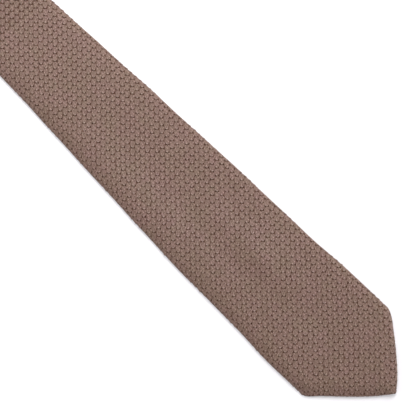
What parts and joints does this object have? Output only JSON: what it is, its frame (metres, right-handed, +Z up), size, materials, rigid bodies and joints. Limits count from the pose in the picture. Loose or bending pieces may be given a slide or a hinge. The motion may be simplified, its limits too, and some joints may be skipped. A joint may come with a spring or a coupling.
{
  "type": "grenadine neck tie",
  "caption": "Neck tie of coarse gauze-weave cloth, laid flat and straight: a wide pointed blade, a narrow neck piece and a narrow pointed tail, each folded to a flat tube.",
  "frame": {"origin": "middle of the footprint, on the surface that the tie lies on", "axes": "+Z up, out of the front of the tie; +Y along the tie, from the point of the wide blade to the point of the narrow blade; +X to the right of the wide blade, seen from above with its point toward the viewer"},
  "size_m": [0.08, 1.48, 0.0047],
  "materials": {
    "grenadine": "pinkish brown silk in a coarse gauze weave of raised puffs, soft sheen"
  },
  "bodies": {
    "root": {"front_blade": "grenadine", "neck_piece": "grenadine", "tail_blade": "grenadine"}
  },
  "joints": []
}
